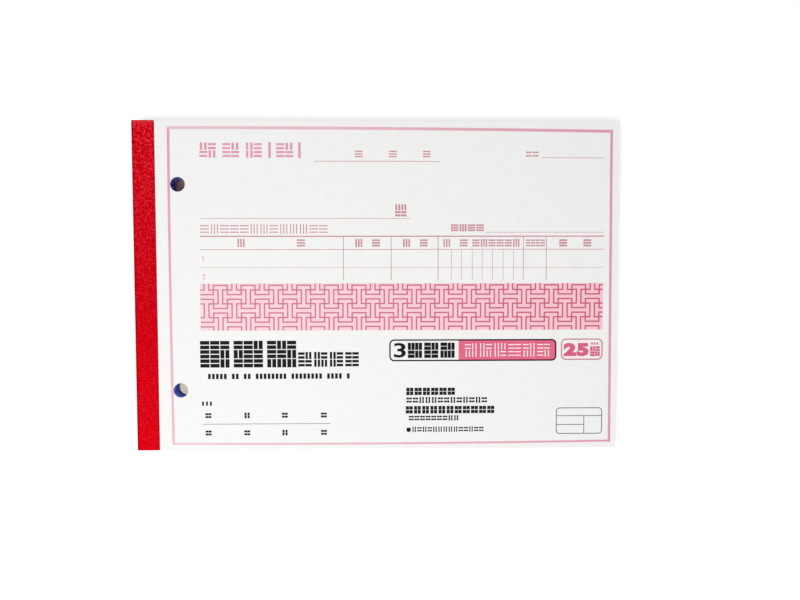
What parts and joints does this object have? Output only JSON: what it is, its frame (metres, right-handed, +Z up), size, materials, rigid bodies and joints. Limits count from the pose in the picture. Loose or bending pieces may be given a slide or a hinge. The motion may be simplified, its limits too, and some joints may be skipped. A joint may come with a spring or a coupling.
{
  "type": "triplicate invoice book",
  "caption": "Landscape slip book: cloth-taped spine, drilled cover, hinged three-sheet carbonless sets, writing shield, grey back board and wire staples.",
  "frame": {"origin": "centre of the closed book's bounding box in plan, on the plane that it lies on", "axes": "+X from the spine to the fore edge, +Y to the head of the form, +Z up out of the front cover"},
  "size_m": [0.1886, 0.128, 0.0077],
  "materials": {
    "red_cloth": "fine woven red book cloth tape, matt",
    "cover_paper": null,
    "shield_card": "smooth buff card",
    "grey_board": "grey-brown recycled chipboard, fibrous",
    "white_slip": "white carbonless slip paper",
    "pink_slip": "pale pink carbonless slip paper",
    "blue_slip": "pale blue carbonless slip paper",
    "steel_wire": "bright tinned steel wire"
  },
  "bodies": {
    "binding": {"spine_tape": "red_cloth", "back_board": "grey_board", "writing_shield_stub": "shield_card", "slip_stubs": "white_slip", "front_cover_stub": "cover_paper", "head_staple": "steel_wire", "tail_staple": "steel_wire"},
    "writing_shield": {"writing_shield": "shield_card"},
    "set_25": {"set_25": "white_slip"},
    "set_24": {"set_24": "white_slip"},
    "set_23": {"set_23": "white_slip"},
    "set_22": {"set_22": "white_slip"},
    "set_21": {"set_21": "white_slip"},
    "set_20": {"set_20": "white_slip"},
    "set_19": {"set_19": "white_slip"},
    "set_18": {"set_18": "white_slip"},
    "set_17": {"set_17": "white_slip"},
    "set_16": {"set_16": "white_slip"},
    "set_15": {"set_15": "white_slip"},
    "set_14": {"set_14": "white_slip"},
    "set_13": {"set_13": "white_slip"},
    "set_12": {"set_12": "white_slip"},
    "set_11": {"set_11": "white_slip"},
    "set_10": {"set_10": "white_slip"},
    "set_09": {"set_09": "white_slip"},
    "set_08": {"set_08": "white_slip"},
    "set_07": {"set_07": "white_slip"},
    "set_06": {"set_06": "white_slip"},
    "set_05": {"set_05": "white_slip"},
    "set_04": {"set_04": "white_slip"},
    "set_03": {"set_03": "white_slip"},
    "set_02": {"set_02": "white_slip"},
    "first_set_bottom_slip": {"first_set_bottom_slip": "blue_slip"},
    "first_set_middle_slip": {"first_set_middle_slip": "pink_slip"},
    "first_set_top_slip": {"first_set_top_slip": "white_slip"},
    "front_cover": {"front_cover": "cover_paper"}
  },
  "joints": [
    {"name": "writing_shield_turn", "type": "hinge", "parent": "binding", "child": "writing_shield", "pos_m": [-0.0855, 0, 0.00769], "axis": [0, -1, 0], "range_deg": [0, 180]},
    {"name": "set_25_turn", "type": "hinge", "parent": "writing_shield", "child": "set_25", "pos_m": [-0.0855, 0, 0.00769], "axis": [0, -1, 0], "range_deg": [0, 180]},
    {"name": "set_24_turn", "type": "hinge", "parent": "set_25", "child": "set_24", "pos_m": [-0.0855, 0, 0.00769], "axis": [0, -1, 0], "range_deg": [0, 180]},
    {"name": "set_23_turn", "type": "hinge", "parent": "set_24", "child": "set_23", "pos_m": [-0.0855, 0, 0.00769], "axis": [0, -1, 0], "range_deg": [0, 180]},
    {"name": "set_22_turn", "type": "hinge", "parent": "set_23", "child": "set_22", "pos_m": [-0.0855, 0, 0.00769], "axis": [0, -1, 0], "range_deg": [0, 180]},
    {"name": "set_21_turn", "type": "hinge", "parent": "set_22", "child": "set_21", "pos_m": [-0.0855, 0, 0.00769], "axis": [0, -1, 0], "range_deg": [0, 180]},
    {"name": "set_20_turn", "type": "hinge", "parent": "set_21", "child": "set_20", "pos_m": [-0.0855, 0, 0.00769], "axis": [0, -1, 0], "range_deg": [0, 180]},
    {"name": "set_19_turn", "type": "hinge", "parent": "set_20", "child": "set_19", "pos_m": [-0.0855, 0, 0.00769], "axis": [0, -1, 0], "range_deg": [0, 180]},
    {"name": "set_18_turn", "type": "hinge", "parent": "set_19", "child": "set_18", "pos_m": [-0.0855, 0, 0.00769], "axis": [0, -1, 0], "range_deg": [0, 180]},
    {"name": "set_17_turn", "type": "hinge", "parent": "set_18", "child": "set_17", "pos_m": [-0.0855, 0, 0.00769], "axis": [0, -1, 0], "range_deg": [0, 180]},
    {"name": "set_16_turn", "type": "hinge", "parent": "set_17", "child": "set_16", "pos_m": [-0.0855, 0, 0.00769], "axis": [0, -1, 0], "range_deg": [0, 180]},
    {"name": "set_15_turn", "type": "hinge", "parent": "set_16", "child": "set_15", "pos_m": [-0.0855, 0, 0.00769], "axis": [0, -1, 0], "range_deg": [0, 180]},
    {"name": "set_14_turn", "type": "hinge", "parent": "set_15", "child": "set_14", "pos_m": [-0.0855, 0, 0.00769], "axis": [0, -1, 0], "range_deg": [0, 180]},
    {"name": "set_13_turn", "type": "hinge", "parent": "set_14", "child": "set_13", "pos_m": [-0.0855, 0, 0.00769], "axis": [0, -1, 0], "range_deg": [0, 180]},
    {"name": "set_12_turn", "type": "hinge", "parent": "set_13", "child": "set_12", "pos_m": [-0.0855, 0, 0.00769], "axis": [0, -1, 0], "range_deg": [0, 180]},
    {"name": "set_11_turn", "type": "hinge", "parent": "set_12", "child": "set_11", "pos_m": [-0.0855, 0, 0.00769], "axis": [0, -1, 0], "range_deg": [0, 180]},
    {"name": "set_10_turn", "type": "hinge", "parent": "set_11", "child": "set_10", "pos_m": [-0.0855, 0, 0.00769], "axis": [0, -1, 0], "range_deg": [0, 180]},
    {"name": "set_09_turn", "type": "hinge", "parent": "set_10", "child": "set_09", "pos_m": [-0.0855, 0, 0.00769], "axis": [0, -1, 0], "range_deg": [0, 180]},
    {"name": "set_08_turn", "type": "hinge", "parent": "set_09", "child": "set_08", "pos_m": [-0.0855, 0, 0.00769], "axis": [0, -1, 0], "range_deg": [0, 180]},
    {"name": "set_07_turn", "type": "hinge", "parent": "set_08", "child": "set_07", "pos_m": [-0.0855, 0, 0.00769], "axis": [0, -1, 0], "range_deg": [0, 180]},
    {"name": "set_06_turn", "type": "hinge", "parent": "set_07", "child": "set_06", "pos_m": [-0.0855, 0, 0.00769], "axis": [0, -1, 0], "range_deg": [0, 180]},
    {"name": "set_05_turn", "type": "hinge", "parent": "set_06", "child": "set_05", "pos_m": [-0.0855, 0, 0.00769], "axis": [0, -1, 0], "range_deg": [0, 180]},
    {"name": "set_04_turn", "type": "hinge", "parent": "set_05", "child": "set_04", "pos_m": [-0.0855, 0, 0.00769], "axis": [0, -1, 0], "range_deg": [0, 180]},
    {"name": "set_03_turn", "type": "hinge", "parent": "set_04", "child": "set_03", "pos_m": [-0.0855, 0, 0.00769], "axis": [0, -1, 0], "range_deg": [0, 180]},
    {"name": "set_02_turn", "type": "hinge", "parent": "set_03", "child": "set_02", "pos_m": [-0.0855, 0, 0.00769], "axis": [0, -1, 0], "range_deg": [0, 180]},
    {"name": "first_set_bottom_slip_turn", "type": "hinge", "parent": "set_02", "child": "first_set_bottom_slip", "pos_m": [-0.0855, 0, 0.00769], "axis": [0, -1, 0], "range_deg": [0, 180]},
    {"name": "first_set_middle_slip_turn", "type": "hinge", "parent": "first_set_bottom_slip", "child": "first_set_middle_slip", "pos_m": [-0.0855, 0, 0.00769], "axis": [0, -1, 0], "range_deg": [0, 180]},
    {"name": "first_set_top_slip_turn", "type": "hinge", "parent": "first_set_middle_slip", "child": "first_set_top_slip", "pos_m": [-0.0855, 0, 0.00769], "axis": [0, -1, 0], "range_deg": [0, 180]},
    {"name": "front_cover_turn", "type": "hinge", "parent": "first_set_top_slip", "child": "front_cover", "pos_m": [-0.0855, 0, 0.00769], "axis": [0, -1, 0], "range_deg": [0, 180]}
  ]
}
